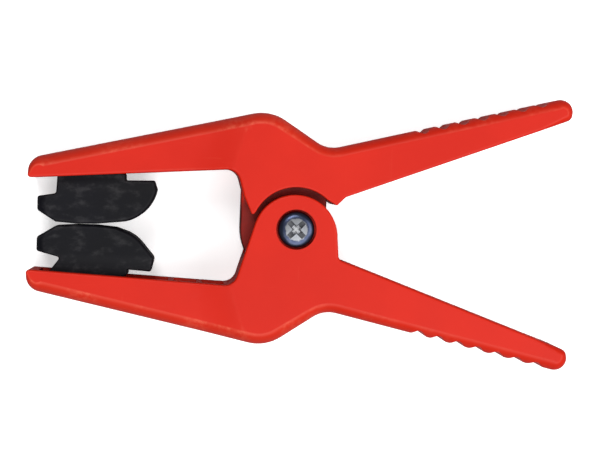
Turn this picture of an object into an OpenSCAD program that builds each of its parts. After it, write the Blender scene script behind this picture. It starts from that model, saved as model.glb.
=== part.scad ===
// Hand spring clamp with two swivelling pads, in millimetres.
// It lies on its side: the hinge axis is +Z, the tips point to -X and the handles to +X.
// The origin is the middle of the footprint on the resting plane.

/* [Arms] */
// Depth of the arms along the hinge axis
body_depth = 17.6; // [17.2:0.1:19]
// Depth taken off each side of the jaws, in front of the cheeks
jaw_inset = 1.2; // [0.8:0.1:1.5]
// Thickness of the outer wall that runs along each arm
outer_wall = 2; // [1.6:0.1:2.2]
// Thickness of the jaws' side walls
jaw_wall = 2.4; // [2.2:0.1:2.6]
// Thickness of the handles' side walls
handle_wall = 2.6; // [2.2:0.1:3]
// Thickness of the stiffening ribs
rib = 1; // [0.8:0.1:1.1]

/* [Grip] */
// Number of scallops along each handle's outer edge
scallops = 7; // [4:1:7]
// Distance between neighbouring scallops
scallop_pitch = 3.75; // [3.4:0.05:3.8]
// Radius of each scallop
scallop_r = 2.3; // [2:0.1:2.3]
// Depth of each scallop
scallop_depth = 0.6; // [0.3:0.05:0.7]

/* [Hinge] */
// Thickness of each outer ear of the lower arm
ear = 3.6; // [3.5:0.1:3.8]
// Thickness of each inner knuckle of the upper arm
knuckle = 2.6; // [2.3:0.1:2.6]
// Radius of the inner knuckles
knuckle_r = 10.5; // [9.8:0.1:10.6]
// Gap between the knuckles and the ears
side_gap = 0.15; // [0.1:0.05:0.2]
// Radius of the sleeve that the arms turn on
sleeve_r = 2.5; // [2.3:0.05:2.6]
// Clearance round the sleeve
run_gap = 0.05; // [0.02:0.01:0.08]

/* [Screw and nut] */
// Radius of the screw head
head_r = 3.45; // [3.3:0.05:3.5]
// Height of the screw head
head_h = 2.1; // [1.9:0.1:2.3]
// Radius of the screw shank
shank_r = 1.7; // [1.5:0.05:1.75]
// Width of the nut across its flats
nut_width = 6; // [5.6:0.1:6.2]
// Thickness of the nut
nut_h = 1.8; // [1.6:0.1:1.9]

/* [Spring] */
// Diameter of the spring wire
wire_d = 1.4; // [1.2:0.05:1.5]
// Radius of the coils, to the middle of the wire
coil_r = 4.05; // [3.8:0.05:4.3]
// Length of each straight leg
leg_length = 25; // [22:0.5:26]

/* [Pads] */
// Width of each pad along the hinge axis
pad_width = 9.8; // [9:0.1:9.8]
// Radius of the rounded gripping face
pad_face_r = 60; // [56:1:64]
// Gap between the two gripping faces at rest
pad_gap = 0.3; // [0.3:0.05:0.5]
// Radius of the moulded bar that each pad snaps onto
bar_r = 0.95; // [0.8:0.05:1]

/* [Hidden] */
$fn = 96;
// arm outline, relative to the hinge axis
tip_x = -50.7;
tip_low = 8.65;
tip_high = 12.39;
throat_x = -11.4;
throat_y = 11.15;
hump = [-5.2, 22.48];
valley = [5.65, 15.24];
end_high = [53, 26.6];
end_low = [51.9, 21.92];
handle_root = [9.2, 6.3];
spike = [7.6, 4.9];
wedge = [-8.65, 2.8];
ear_mid = [-0.15, -1.45];
ear_r = 8;
relief_mid = [0, -0.6];
relief_r = 8.6;
knuckle_cut_x = 5.8;
sweep_r = knuckle_r + 0.4;
arc_step = 9;
over = 4;
mid_z = body_depth / 2;
// slopes of the outer edges
jaw_slope = (hump[1] - tip_high) / (hump[0] - tip_x);
grip_start = 23.8;
grip_slope = (end_high[1] - valley[1]) / (end_high[0] - valley[0]);
grip_angle = atan(grip_slope);
// the gap between the knuckles that the coil lies in
core_low = ear + side_gap + knuckle;
core_back_x = -8.4;
cross_x = -13.4;
bar = [-40.3, 10.9];
bore_gap = 0.06;
// screw and nut
head_seat = 1.6;
head_sink_r = head_r + 0.35;
nut_seat = nut_h + 0.2;
sleeve_bore = shank_r + 0.1;
recess_w = 1;
recess_l = 4.1;
recess_deep = 1.3;
// spring
wire_r = wire_d / 2;
turns = 3;
turn_pitch = 0.98 * wire_d;
leg_angle = 21;
seat_x = 20.5;
// pads
pad_left = -49.1;
pad_right = -26.3;
neck_left = -45.5;
neck_right = -32.5;
neck_top = 9.9;
clip_r = 2;

// Which piece to show

function unit(v) = v / norm(v);

// points of the arc that rounds corner b, between its neighbours a and c
function corner(a, b, c, r) =
  let (
    u = unit(a - b),
    v = unit(c - b),
    half = acos(u * v) / 2,
    mid = b + unit(u + v) * r / sin(half),
    from = b + u * r / tan(half) - mid,
    to = b + v * r / tan(half) - mid,
    start = atan2(from[1], from[0]),
    turn = atan2(from[0] * to[1] - from[1] * to[0], from * to),
    steps = max(1, ceil(abs(turn) / arc_step))
  )
  [for (i = [0:steps]) mid + r * [cos(start + turn * i / steps), sin(start + turn * i / steps)]];

// closed outline through [x, y, radius] corners
function rounded(list) =
  let (n = len(list))
  [
    for (i = [0:n - 1])
      let (
        b = list[i],
        a = list[(i + n - 1) % n],
        c = list[(i + 1) % n]
      )
      each b[2] > 0
        ? corner([a[0], a[1]], [b[0], b[1]], [c[0], c[1]], b[2])
        : [[b[0], b[1]]]
  ];

// the corners that both arms share, from the throat round the tip to the handle's root
shared = [
  [tip_x, tip_low, 0.6],
  [tip_x, tip_high, 3],
  [hump[0], hump[1], 8],
  [valley[0], valley[1], 5.5],
  [end_high[0], end_high[1], 2.3],
  [end_low[0], end_low[1], 1.4],
];

upper_outline = rounded(concat(shared, [
  [handle_root[0], handle_root[1], 0.6],
  [spike[0], spike[1], 0.3],
  [wedge[0], wedge[1], 0.2],
  [-9.98, 6.04, 3],
  [throat_x, throat_y, 2.5],
]));

lower_outline = rounded(concat(shared, [
  [8.1, 5.5, 1],
  [ear_mid[0], -ear_mid[1], 0],
  [-7.7, -0.7, 0],
  [throat_x - 0.15, throat_y - 0.3, 2.5],
]));

// half the length is to be on each side of the origin
pivot_x = -(max([for (p = upper_outline) p[0]]) + tip_x) / 2;

function grip_y(x) = valley[1] + grip_slope * (x - valley[0]);
function jaw_y(x) = tip_high + jaw_slope * (x - tip_x);
wall_drop = outer_wall / cos(grip_angle);

module place() {
  translate([pivot_x, 0, 0])
    children();
}

module slab(low, high) {
  translate([0, 0, low])
    linear_extrude(high - low)
      children();
}

// everything in front of the ridge that runs from the hump to the throat
module jaw_side() {
  polygon([[-60, 0], [-60, 40], [-8.6, 40], [-8.6, 22.4], [-12.6, 10], [-12.6, 0]]);
}

// the hollow of the jaw, open towards the other jaw, with its ribs left standing
module jaw_hollow() {
  low = jaw_inset + jaw_wall;
  difference() {
    slab(low, body_depth - low)
      polygon([
        [tip_x + 2.2, 4],
        [tip_x + 2.2, jaw_y(tip_x + 2.2) - wall_drop],
        [cross_x, jaw_y(cross_x) - wall_drop],
        [cross_x, 4]
      ]);
    for (x = [-18.6, -24])
      translate([x, 9, low - 1])
        cube([rib, 14, body_depth]);
    translate([bar[0], bar[1], low - 1])
      cylinder(r = bar_r, h = body_depth);
  }
}

// the two hollows of the handle, either side of its middle rib
module handle_hollow() {
  left = handle_root[0] + 1.4;
  right = end_low[0] - 2.4;
  difference() {
    slab(handle_wall, body_depth - handle_wall)
      polygon([
        [left, 0],
        [left, grip_y(left) - wall_drop - scallop_depth],
        [right, grip_y(right) - wall_drop - scallop_depth],
        [right, 15]
      ]);
    translate([left - 1, 0, mid_z - rib / 2])
      cube([60, 40, rib]);
    translate([34, 0, 0])
      cube([rib, 40, body_depth]);
    difference() {
      translate([seat_x, 0, 0])
        cube([rib, 40, body_depth]);
      rotate([0, 0, leg_angle])
        translate([-10, -over, -1])
          cube([60, coil_r + wire_r + 0.12 + over, body_depth + 2]);
    }
  }
}

// the slot between the knuckles, from the coil out to the hump and to the handle
module core_slot() {
  slab(core_low, body_depth - core_low)
    polygon([
      [core_back_x, -knuckle_r - 1],
      [core_back_x, jaw_y(core_back_x) - wall_drop - 0.6],
      [hump[0] - 0.6, hump[1] - wall_drop - 1.6],
      [valley[0], valley[1] - wall_drop - 0.6],
      [handle_root[0] + 1.6, grip_y(handle_root[0] + 1.6) - wall_drop - scallop_depth],
      [handle_root[0] + 1.6, -knuckle_r - 1]
    ]);
}

// the scallops of one handle's outer edge
module grip_cuts() {
  for (i = [0:scallops - 1]) {
    x = grip_start + i * scallop_pitch;
    translate([x, grip_y(x), 0])
      rotate([0, 0, grip_angle])
        translate([0, scallop_r - scallop_depth, -1])
          cylinder(r = scallop_r, h = body_depth + 2);
  }
}

// an arm's outside, with the jaw's sides set in from the cheeks'
module arm_block(outline) {
  difference() {
    slab(0, body_depth)
      polygon(outline);
    for (z = [-over, body_depth - jaw_inset])
      slab(z, z + over + jaw_inset)
        jaw_side();
    jaw_hollow();
    handle_hollow();
    grip_cuts();
  }
}

module lower_arm() {
  color("red")
    place() {
      mirror([0, 1, 0]) {
        difference() {
          union() {
            arm_block(lower_outline);
            slab(0, body_depth)
              translate([ear_mid[0], -ear_mid[1]])
                circle(r = ear_r);
          }
          // room for the other arm's knuckles to turn in
          translate([0, 0, ear])
            cylinder(r = sweep_r, h = body_depth - 2 * ear);
          core_slot();
          translate([0, 0, -1])
            cylinder(r = sleeve_r + run_gap, h = body_depth + 2);
          translate([0, 0, body_depth - head_seat])
            cylinder(r = head_sink_r, h = over);
          translate([0, 0, nut_seat - over])
            cylinder(r = (nut_width / 2 + 0.12) / cos(30), h = over, $fn = 6);
        }
      }
    }
}

// one knuckle's side view, reaching up into the cheek
module knuckle_side() {
  intersection() {
    union() {
      circle(r = knuckle_r);
      polygon([[-knuckle_r, 0], [-knuckle_r, 8], [-9, 12], [knuckle_cut_x, 12], [knuckle_cut_x, 0]]);
    }
    translate([-20, -20])
      square([20 + knuckle_cut_x, 40]);
  }
}

module upper_arm() {
  color("red")
    place() {
      difference() {
        union() {
          difference() {
            arm_block(upper_outline);
            // room for the other arm's ears
            for (z = [-1, body_depth - ear - side_gap])
              translate([relief_mid[0], relief_mid[1], z])
                cylinder(r = relief_r, h = ear + side_gap + 1);
          }
          slab(ear + side_gap, body_depth - ear - side_gap)
            knuckle_side();
        }
        core_slot();
        translate([0, 0, -1])
          cylinder(r = sleeve_r + run_gap, h = body_depth + 2);
      }
    }
}

module pivot_screw() {
  dome_r = 6.2;
  rim_h = head_h - (dome_r - sqrt(dome_r * dome_r - head_r * head_r));
  color("lightsteelblue")
    place() {
      difference() {
        union() {
          translate([0, 0, body_depth - head_seat])
            intersection() {
              cylinder(r = head_r, h = head_h);
              translate([0, 0, rim_h - sqrt(dome_r * dome_r - head_r * head_r)])
                sphere(r = dome_r);
            }
          translate([0, 0, 0.2])
            cylinder(r = shank_r, h = body_depth - head_seat);
        }
        translate([0, 0, body_depth - head_seat + head_h - recess_deep])
          for (a = [45, 135])
            rotate([0, 0, a])
              translate([-recess_l / 2, -recess_w / 2, 0])
                cube([recess_l, recess_w, over]);
      }
    }
}

module pivot_sleeve() {
  low = nut_seat + 0.02;
  color("silver")
    place() {
      translate([0, 0, low])
        difference() {
          cylinder(r = sleeve_r, h = body_depth - head_seat - 0.02 - low);
          translate([0, 0, -1])
            cylinder(r = sleeve_bore, h = body_depth);
        }
    }
}

module pivot_nut() {
  color("silver")
    place() {
      translate([0, 0, 0.1])
        difference() {
          cylinder(r = nut_width / 2 / cos(30), h = nut_h, $fn = 6);
          translate([0, 0, -1])
            cylinder(r = shank_r + 0.02, h = nut_h + 2);
        }
    }
}

module torsion_spring() {
  color("dimgray")
    place() {
      for (i = [0:turns - 1])
        translate([0, 0, mid_z + (i - (turns - 1) / 2) * turn_pitch])
          rotate_extrude()
            translate([coil_r, 0])
              circle(r = wire_r);
      for (side = [-1, 1])
        translate([0, 0, mid_z + side * (turns - 1) / 2 * turn_pitch])
          rotate([0, 0, side * leg_angle])
            translate([0, side * coil_r, 0])
              rotate([0, 90, 0])
                cylinder(r = wire_r, h = leg_length);
    }
}

// one pad's side view, with its gripping face towards -Y
module pad_side() {
  difference() {
    union() {
      intersection() {
        polygon(rounded([
          [pad_left, 5.2, 0.5],
          [pad_left, 2.4, 0.6],
          [-44.6, -0.3, 2.4],
          [-34.4, -0.3, 5],
          [-28.9, 2.5, 6],
          [pad_right, 5.3, 2.2],
          [pad_right - 0.7, 8.65, 0.7],
          [neck_right, 8.5, 0],
          [neck_right, neck_top, 0.6],
          [neck_left, neck_top, 0.6],
          [neck_left, 5.8, 0.8],
        ]));
        translate([bar[0], pad_gap / 2 + pad_face_r])
          circle(r = pad_face_r, $fn = 240);
      }
      translate([bar[0] - clip_r, neck_top - 1])
        square([2 * clip_r, bar[1] - neck_top + 1]);
      intersection() {
        translate(bar)
          circle(r = clip_r);
        translate([bar[0] - clip_r, neck_top])
          square([2 * clip_r, bar[1] - neck_top + 0.5]);
      }
    }
    translate(bar)
      circle(r = bar_r + bore_gap);
    // the mouth that snaps over the bar
    translate([bar[0] - bar_r * 0.8, bar[1]])
      square([bar_r * 1.6, over]);
  }
}

module upper_pad() {
  color("black")
    place() {
      slab(mid_z - pad_width / 2, mid_z + pad_width / 2)
        pad_side();
    }
}

module lower_pad() {
  color("black")
    place() {
      mirror([0, 1, 0])
        slab(mid_z - pad_width / 2, mid_z + pad_width / 2)
          pad_side();
    }
}

lower_arm();
upper_arm();
pivot_screw();
pivot_sleeve();
pivot_nut();
torsion_spring();
lower_pad();
upper_pad();
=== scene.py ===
"""Visual model of a hand spring clamp lying on its side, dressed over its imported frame."""

import logging
import math
from dataclasses import dataclass
from enum import Enum
from typing import Callable, Iterable, Sequence

import bmesh
import bpy
import numpy as np
from bpy.types import Material, Node, NodeSocket, NodeTree, Object
from mathutils import Matrix, Vector
from mathutils.geometry import delaunay_2d_cdt


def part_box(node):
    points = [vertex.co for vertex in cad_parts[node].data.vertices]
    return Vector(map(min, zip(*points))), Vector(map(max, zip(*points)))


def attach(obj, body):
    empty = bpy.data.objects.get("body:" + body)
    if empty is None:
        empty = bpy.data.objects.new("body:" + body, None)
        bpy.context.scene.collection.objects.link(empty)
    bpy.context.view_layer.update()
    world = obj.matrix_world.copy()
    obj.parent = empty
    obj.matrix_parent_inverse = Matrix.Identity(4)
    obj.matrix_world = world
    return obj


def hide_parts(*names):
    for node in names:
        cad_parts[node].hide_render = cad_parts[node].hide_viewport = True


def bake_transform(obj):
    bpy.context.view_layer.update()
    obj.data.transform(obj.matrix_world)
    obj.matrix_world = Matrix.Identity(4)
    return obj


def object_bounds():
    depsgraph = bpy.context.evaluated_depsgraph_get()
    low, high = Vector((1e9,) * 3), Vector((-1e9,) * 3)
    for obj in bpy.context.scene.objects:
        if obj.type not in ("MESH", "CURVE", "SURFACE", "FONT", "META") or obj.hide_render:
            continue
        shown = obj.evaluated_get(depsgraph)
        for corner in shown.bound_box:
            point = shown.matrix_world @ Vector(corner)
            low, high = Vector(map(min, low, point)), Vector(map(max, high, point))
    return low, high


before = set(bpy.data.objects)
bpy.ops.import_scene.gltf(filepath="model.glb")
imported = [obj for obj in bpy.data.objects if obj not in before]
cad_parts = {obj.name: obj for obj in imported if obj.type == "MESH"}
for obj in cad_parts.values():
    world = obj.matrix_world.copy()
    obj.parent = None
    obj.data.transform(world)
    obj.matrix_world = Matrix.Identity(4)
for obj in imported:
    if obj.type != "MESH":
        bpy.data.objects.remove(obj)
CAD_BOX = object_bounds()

LOG = logging.getLogger("clamp")

MM = 0.001
SLEEVE_LOW, SLEEVE_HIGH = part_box("pivot_sleeve")
PIVOT = (SLEEVE_LOW + SLEEVE_HIGH) / 2
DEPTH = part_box("upper_arm")[1].z / MM
MID = DEPTH / 2

Spot = tuple[float, float]
Point = tuple[float, float, float]


# --- outlines ---

ARC_STEP = 6.0  # the largest turn between two points of an arc, in degrees
SHORTEST_STEP = 0.02  # millimetres between two points of an outline
LEAST_STRETCH = 0.45  # stops the way out of a very sharp corner from growing long
SHARPEST_TURN = 2.6  # radians


@dataclass(frozen=True)
class Corner:
    """A rounded corner of an outline, in millimetres from the hinge axis.

    inset is how far the flat side face stops short of the outline there, and drop is how far the
    crown between the two falls along the hinge axis. start is the share of both where the rounding
    begins; they change evenly to their own size where it ends.
    """

    x: float
    y: float
    radius: float = 0.0
    inset: float = 0.3
    drop: float = 0.3
    start: float = 1.0


@dataclass(frozen=True)
class Bend:
    """A circular stretch of an outline from one angle to another, with the same crown throughout."""

    x: float
    y: float
    radius: float
    start: float
    stop: float
    inset: float = 0.3
    drop: float = 0.3

    def point(self, degrees: float) -> Spot:
        """The point of the circle at an angle."""
        a = math.radians(degrees)
        return self.x + self.radius * math.cos(a), self.y + self.radius * math.sin(a)


Stretch = Corner | Bend


def _ends(s: Stretch) -> tuple[Spot, Spot]:
    """Where a stretch is entered and left."""
    if isinstance(s, Bend):
        return s.point(s.start), s.point(s.stop)
    return (s.x, s.y), (s.x, s.y)


def _rounding(a: Spot, s: Corner, c: Spot) -> list[Spot]:
    """Points of the arc that rounds a corner.

    Args:
        a: The point before the corner.
        s: The corner.
        c: The point after it.

    Returns:
        The arc's points in order, or the corner itself if it is sharp.
    """
    b = np.array([s.x, s.y])
    if s.radius <= 0:
        return [(s.x, s.y)]
    u = (np.array(a) - b) / np.linalg.norm(np.array(a) - b)
    v = (np.array(c) - b) / np.linalg.norm(np.array(c) - b)
    half = math.acos(max(-1.0, min(1.0, float(u @ v)))) / 2
    mid = b + (u + v) / np.linalg.norm(u + v) * s.radius / math.sin(half)
    first = b + u * s.radius / math.tan(half) - mid
    last = b + v * s.radius / math.tan(half) - mid
    start = math.atan2(first[1], first[0])
    turn = math.atan2(first[0] * last[1] - first[1] * last[0], float(first @ last))
    count = max(2, math.ceil(abs(math.degrees(turn)) / ARC_STEP))
    angles = [start + turn * i / count for i in range(count + 1)]
    return [(mid[0] + s.radius * math.cos(t), mid[1] + s.radius * math.sin(t)) for t in angles]


@dataclass
class Outline:
    """A closed side view with its crown, as arrays that run the same way round as the hinge turns."""

    points: np.ndarray
    crown: np.ndarray

    @classmethod
    def through(cls, stretches: Sequence[Stretch], gap: float = 0.9) -> "Outline":
        """Traces an outline through its corners and bends.

        Args:
            stretches: The corners and bends in order.
            gap: The longest straight step between two points.

        Returns:
            The outline, with long straights divided so that the faces beside them stay even.
        """
        rough: list[tuple[float, float, float, float]] = []
        n = len(stretches)
        for i, s in enumerate(stretches):
            if isinstance(s, Bend):
                count = max(2, math.ceil(abs(s.stop - s.start) / ARC_STEP))
                arc = [s.point(s.start + (s.stop - s.start) * k / count) for k in range(count + 1)]
            else:
                arc = _rounding(_ends(stretches[i - 1])[1], s, _ends(stretches[(i + 1) % n])[0])
            first = 1.0 if isinstance(s, Bend) else s.start
            for k, (x, y) in enumerate(arc):
                share = first + (1 - first) * k / max(1, len(arc) - 1)
                rough.append((x, y, s.inset * share, s.drop * share))
        fine = []
        for i, a in enumerate(rough):
            b = rough[(i + 1) % len(rough)]
            length = math.dist(a[:2], b[:2])
            if length < SHORTEST_STEP:
                continue
            count = max(1, math.ceil(length / gap))
            fine += [tuple(p + (q - p) * k / count for p, q in zip(a, b)) for k in range(count)]
        data = np.array(fine)
        x, y = data[:, 0], data[:, 1]
        if np.sum(x * np.roll(y, -1) - np.roll(x, -1) * y) < 0:
            data = data[::-1].copy()
        return cls(data[:, :2], data[:, 2:])

    def mirrored(self) -> "Outline":
        """The same outline on the other side of the clamp's middle."""
        flipped = self.points * np.array([1, -1])
        return Outline(flipped[::-1].copy(), self.crown[::-1].copy())

    def outward(self) -> np.ndarray:
        """The way out at each point, longer at a corner so that the sides of the crown stay parallel."""
        ahead = np.roll(self.points, -1, 0) - self.points
        ahead /= np.linalg.norm(ahead, axis=1)[:, None]
        behind = np.roll(ahead, 1, 0)
        right = np.stack([ahead[:, 1], -ahead[:, 0]], 1)
        side = right + np.stack([behind[:, 1], -behind[:, 0]], 1)
        side /= np.maximum(np.linalg.norm(side, axis=1), 1e-6)[:, None]
        stretch = np.abs(np.sum(side * right, 1))
        return side / np.maximum(stretch, LEAST_STRETCH)[:, None]


def _room(points: np.ndarray) -> np.ndarray:
    """How far in each point of a ring may move before the ring folds over itself at a tight corner."""
    ahead = np.roll(points, -1, 0) - points
    length = np.linalg.norm(ahead, axis=1)
    heading = np.arctan2(ahead[:, 1], ahead[:, 0])
    turn = (heading - np.roll(heading, 1) + math.pi) % (2 * math.pi) - math.pi
    bite = np.tan(np.clip(turn, -SHARPEST_TURN, SHARPEST_TURN) / 2)
    bite = bite + np.roll(bite, -1)
    room = np.where(bite > 1e-6, length / np.maximum(bite, 1e-6), np.inf)
    return np.minimum(room, np.roll(room, 1))


def _inside(points: np.ndarray, ring: np.ndarray) -> np.ndarray:
    """Which points lie inside a closed ring."""
    x, y = points[:, 0][:, None], points[:, 1][:, None]
    x0, y0 = ring[:, 0][None], ring[:, 1][None]
    x1, y1 = np.roll(ring[:, 0], -1)[None], np.roll(ring[:, 1], -1)[None]
    spans = (y0 > y) != (y1 > y)
    rise = np.where(np.abs(y1 - y0) < 1e-12, 1e-12, y1 - y0)
    return (np.sum(spans & (x < (x1 - x0) * (y - y0) / rise + x0), 1) % 2).astype(bool)


def _clear_of(points: np.ndarray, ring: np.ndarray, gap: float) -> np.ndarray:
    """Which points are at least a gap away from every point of a ring."""
    d = np.linalg.norm(points[:, None] - ring[None], axis=2)
    return d.min(1) > gap


# --- meshes ---

CROWN_LEAN = math.radians(26)  # the crown's slope where it leaves the side face
BORDER = 0.3  # millimetres of even border between the crown and the side face's own points
CROWN_ROOM, BORDER_ROOM = 0.8, 0.93  # shares of a tight corner's room that the two may take up
TURNED_SIDES, WIRE_SIDES = 96, 18
ROW_GAP = 0.22  # millimetres between the border and the first point of a row


def _strip(a: Sequence[int], b: Sequence[int]) -> list[list[int]]:
    """The faces between two closed rows with the same number of points."""
    n = len(a)
    return [[a[i], a[(i + 1) % n], b[(i + 1) % n], b[i]] for i in range(n)]


def _polygon(radius: float, sides: int, first: float = 0.0) -> list[Spot]:
    """The corners of a regular polygon round the axis, from a first angle in degrees."""
    angles = [math.radians(first + 360 * i / sides) for i in range(sides)]
    return [(radius * math.cos(a), radius * math.sin(a)) for a in angles]


def place(name: str, points: Iterable[Point], faces: Iterable[Sequence[int]]) -> Object:
    """Makes an object from points in millimetres from the hinge axis and the resting plane.

    Args:
        name: The piece's name.
        points: Its points.
        faces: Its faces, as indices into the points.

    Returns:
        The object, in metres in the clamp's own frame, with its faces turned outward.
    """
    mesh = bpy.data.meshes.new(name)
    world = [(PIVOT.x + p[0] * MM, PIVOT.y + p[1] * MM, p[2] * MM) for p in points]
    mesh.from_pydata(world, [], [list(f) for f in faces])
    bm = bmesh.new()
    bm.from_mesh(mesh)
    bmesh.ops.recalc_face_normals(bm, faces=bm.faces)
    bm.to_mesh(mesh)
    bm.free()
    obj = bpy.data.objects.new(name, mesh)
    bpy.context.scene.collection.objects.link(obj)
    return obj


def crowned_block(
    name: str,
    outline: Outline,
    half: Callable[[np.ndarray], np.ndarray],
    grid: float = 1.1,
    turns: int = 6,
    rows: np.ndarray | None = None,
) -> Object:
    """A solid with two side faces and a crowned rim, as a moulding tool leaves it.

    Args:
        name: The piece's name.
        outline: Its side view and crown.
        half: Half its thickness at points of the side view.
        grid: The spacing of the points on its side faces.
        turns: The number of steps in the crown.
        rows: Points that the side faces must pass through, where their thickness changes.

    Returns:
        The closed mesh object.
    """
    out = outline.outward()
    room = _room(outline.points)[:, None]
    inset, drop = np.minimum(outline.crown[:, :1], CROWN_ROOM * room), outline.crown[:, 1:]
    border = np.minimum(inset + np.minimum(BORDER, inset * 0.8), BORDER_ROOM * room)
    rings: list[np.ndarray] = []
    for across in (border, inset):
        flat = outline.points - out * across
        rings.append(np.column_stack([flat, half(flat)]))
    for k in range(1, turns + 1):
        a = CROWN_LEAN + (math.pi / 2 - CROWN_LEAN) * k / turns
        across = inset * (1 - (math.sin(a) - math.sin(CROWN_LEAN)) / (1 - math.sin(CROWN_LEAN)))
        down = drop * (math.cos(CROWN_LEAN) - math.cos(a)) / math.cos(CROWN_LEAN)
        flat = outline.points - out * across
        rings.append(np.column_stack([flat, half(flat) - down[:, 0]]))
    n = len(outline.points)
    rim = rings[0][:, :2]
    low, high = rim.min(0), rim.max(0)
    gx, gy = np.meshgrid(np.arange(low[0], high[0], grid), np.arange(low[1], high[1], grid))
    gx[1::2] += grid / 2
    inner = np.column_stack([gx.ravel(), gy.ravel()])
    inner = inner[_inside(inner, rim)]
    inner = inner[_clear_of(inner, rim, grid * 0.55)]
    if rows is not None:
        kept = rows[_inside(rows, rim)]
        kept = kept[_clear_of(kept, rim, ROW_GAP)]
        inner = np.vstack([inner[_clear_of(inner, kept, grid * 0.6)], kept])
    flat = [Vector(p) for p in np.vstack([rim, inner])]
    spots, _, fills, sources, _, _ = delaunay_2d_cdt(flat, [], [list(range(n))], 1, 1e-5)
    points: list[Point] = []
    faces: list[list[int]] = []
    edges: list[range] = []
    for sign in (1, -1):
        base = len(points)
        for ring in rings:
            points += [(x, y, MID + sign * z) for x, y, z in ring]
        lines = [range(base + r * n, base + (r + 1) * n) for r in range(len(rings))]
        for a, b in zip(lines, lines[1:]):
            faces += _strip(a, b)
        edges.append(lines[-1])
        where = {}
        for k, source in enumerate(sources):
            on_rim = [s for s in source if s < n]
            if on_rim:
                where[k] = base + on_rim[0]
            else:
                p = np.array([[spots[k].x, spots[k].y]])
                where[k] = len(points)
                points.append((p[0, 0], p[0, 1], MID + sign * float(half(p)[0])))
        faces += [[where[k] for k in f] for f in fills]
    faces += _strip(*edges)
    return place(name, points, faces)


def prism(side: Sequence[Spot], low: float, high: float) -> Object:
    """A straight-walled solid, for cutting hollows."""
    n = len(side)
    points = [(x, y, z) for z in (low, high) for x, y in side]
    ends = range(n), range(n, 2 * n)
    return place("cutter", points, [*ends, *_strip(*ends)])


def disc(x: float, y: float, radius: float, low: float, high: float, sides: int = 80) -> Object:
    """A round solid along the hinge axis, for cutting bores and adding bars."""
    ring = _polygon(radius, sides, 180 / sides)
    return prism([(x + dx, y + dy) for dx, dy in ring], low, high)


def turned(name: str, profile: Sequence[Spot]) -> Object:
    """A solid turned about the hinge axis.

    Args:
        name: The piece's name.
        profile: Radius and height of each point, in order, from the axis round to the axis.

    Returns:
        The closed mesh object.
    """
    points: list[Point] = []
    rows: list[list[int]] = []
    for r, z in profile:
        ring = _polygon(r, TURNED_SIDES) if r > 1e-6 else [(0.0, 0.0)]
        rows.append([len(points) + i % len(ring) for i in range(TURNED_SIDES)])
        points += [(x, y, z) for x, y in ring]
    quads = [list(dict.fromkeys(f)) for a, b in zip(rows, rows[1:]) for f in _strip(a, b)]
    return place(name, points, [f for f in quads if len(f) > 2])


def swept(name: str, path: np.ndarray, radius: float) -> Object:
    """A round wire along a path, with rounded ends.

    Args:
        name: The piece's name.
        path: The middle of the wire, point by point.
        radius: The wire's radius.

    Returns:
        The closed mesh object.
    """
    ahead = np.gradient(path, axis=0)
    ahead /= np.linalg.norm(ahead, axis=1)[:, None]
    up = np.array([0.0, 0.0, 1.0])
    points: list[Point] = []
    last = len(path) - 1
    steps = [(0, -0.5, 0.5), (0, -0.15, 0.9)] + [(i, 0.0, 1.0) for i in range(last + 1)]
    steps += [(last, 0.15, 0.9), (last, 0.5, 0.5)]
    for i, along, share in steps:
        side = np.cross(ahead[i], up)
        side /= np.linalg.norm(side)
        over = np.cross(side, ahead[i])
        middle = path[i] + ahead[i] * along * radius
        for k in range(WIRE_SIDES):
            a = 2 * math.pi * k / WIRE_SIDES
            points.append(tuple(middle + (side * math.cos(a) + over * math.sin(a)) * radius * share))
    rows = [range(r * WIRE_SIDES, (r + 1) * WIRE_SIDES) for r in range(len(steps))]
    faces = [f for a, b in zip(rows, rows[1:]) for f in _strip(a, b)]
    return place(name, points, [*faces, rows[0], rows[-1]])


class Cut(Enum):
    """What a second solid does to the first."""

    AWAY = "DIFFERENCE"
    JOIN = "UNION"
    KEEP = "INTERSECT"


def combine(block: Object, others: Iterable[Object], how: Cut) -> None:
    """Cuts or joins solids into a block and takes them out of the scene.

    Args:
        block: The solid that is changed.
        others: The solids that change it.
        how: Whether they are cut away, joined or kept.
    """
    for other in others:
        step = block.modifiers.new("step", "BOOLEAN")
        step.operation = how.value
        step.solver = "EXACT"
        step.material_mode = "TRANSFER"
        step.object = other
        graph = bpy.context.evaluated_depsgraph_get()
        made = bpy.data.meshes.new_from_object(block.evaluated_get(graph))
        block.modifiers.clear()
        old, block.data = block.data, made
        bpy.data.meshes.remove(old)
        bpy.data.objects.remove(other)


MERGE, SLIVER, SHORT_EDGE = 0.004, 0.003, 0.03  # millimetres
FULL_RUB_AND_HIGHLIGHT = 0.6  # radians between two faces from which an edge is rubbed and painted with its highlight in full


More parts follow.
